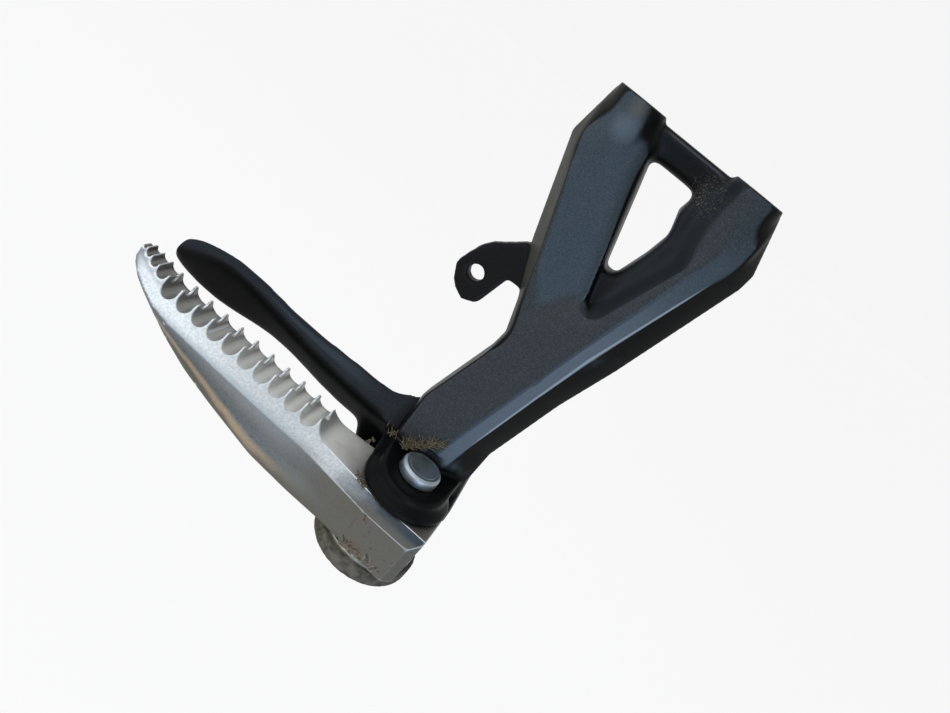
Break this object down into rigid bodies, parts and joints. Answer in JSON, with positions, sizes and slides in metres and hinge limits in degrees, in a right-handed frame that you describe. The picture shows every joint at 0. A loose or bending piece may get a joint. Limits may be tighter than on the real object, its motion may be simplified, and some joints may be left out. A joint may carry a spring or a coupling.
{
  "type": "motorcycle footrest hanger",
  "caption": "Cast motorcycle footrest hanger: forked bracket with a clevis and guard arm, carrying a toothed footrest that folds on an upright pin.",
  "frame": {"origin": "midway between the two mounting bolts, on the flat end face of their bosses", "axes": "+Z out of the bolt holes and up; +Y towards the motorcycle; the folded footrest lies along -X, and it unfolds to -Y"},
  "size_m": [0.1555, 0.0424, 0.1667],
  "materials": {
    "painted_casting": "aluminium casting painted satin black with a fine metallic fleck",
    "bare_casting": "bare cast aluminium, tumbled bright, scuffed and dirty at the root",
    "pin_steel": "turned steel",
    "plated_steel": "zinc plated, dull",
    "spring_steel": "oiled"
  },
  "bodies": {
    "root": {"hanger": "painted_casting", "hinge_pin": "pin_steel", "pin_washer": "plated_steel", "pin_clip": "plated_steel", "detent_plate": "plated_steel"},
    "footrest": {"footrest": "bare_casting", "detent_ball": "pin_steel", "detent_spring": "spring_steel"}
  },
  "joints": [
    {"name": "footrest_fold", "type": "hinge", "parent": "root", "child": "footrest", "pos_m": [-0.001, -0.016, -0.145], "axis": [0, 0, 1], "range_deg": [0, 90]}
  ]
}
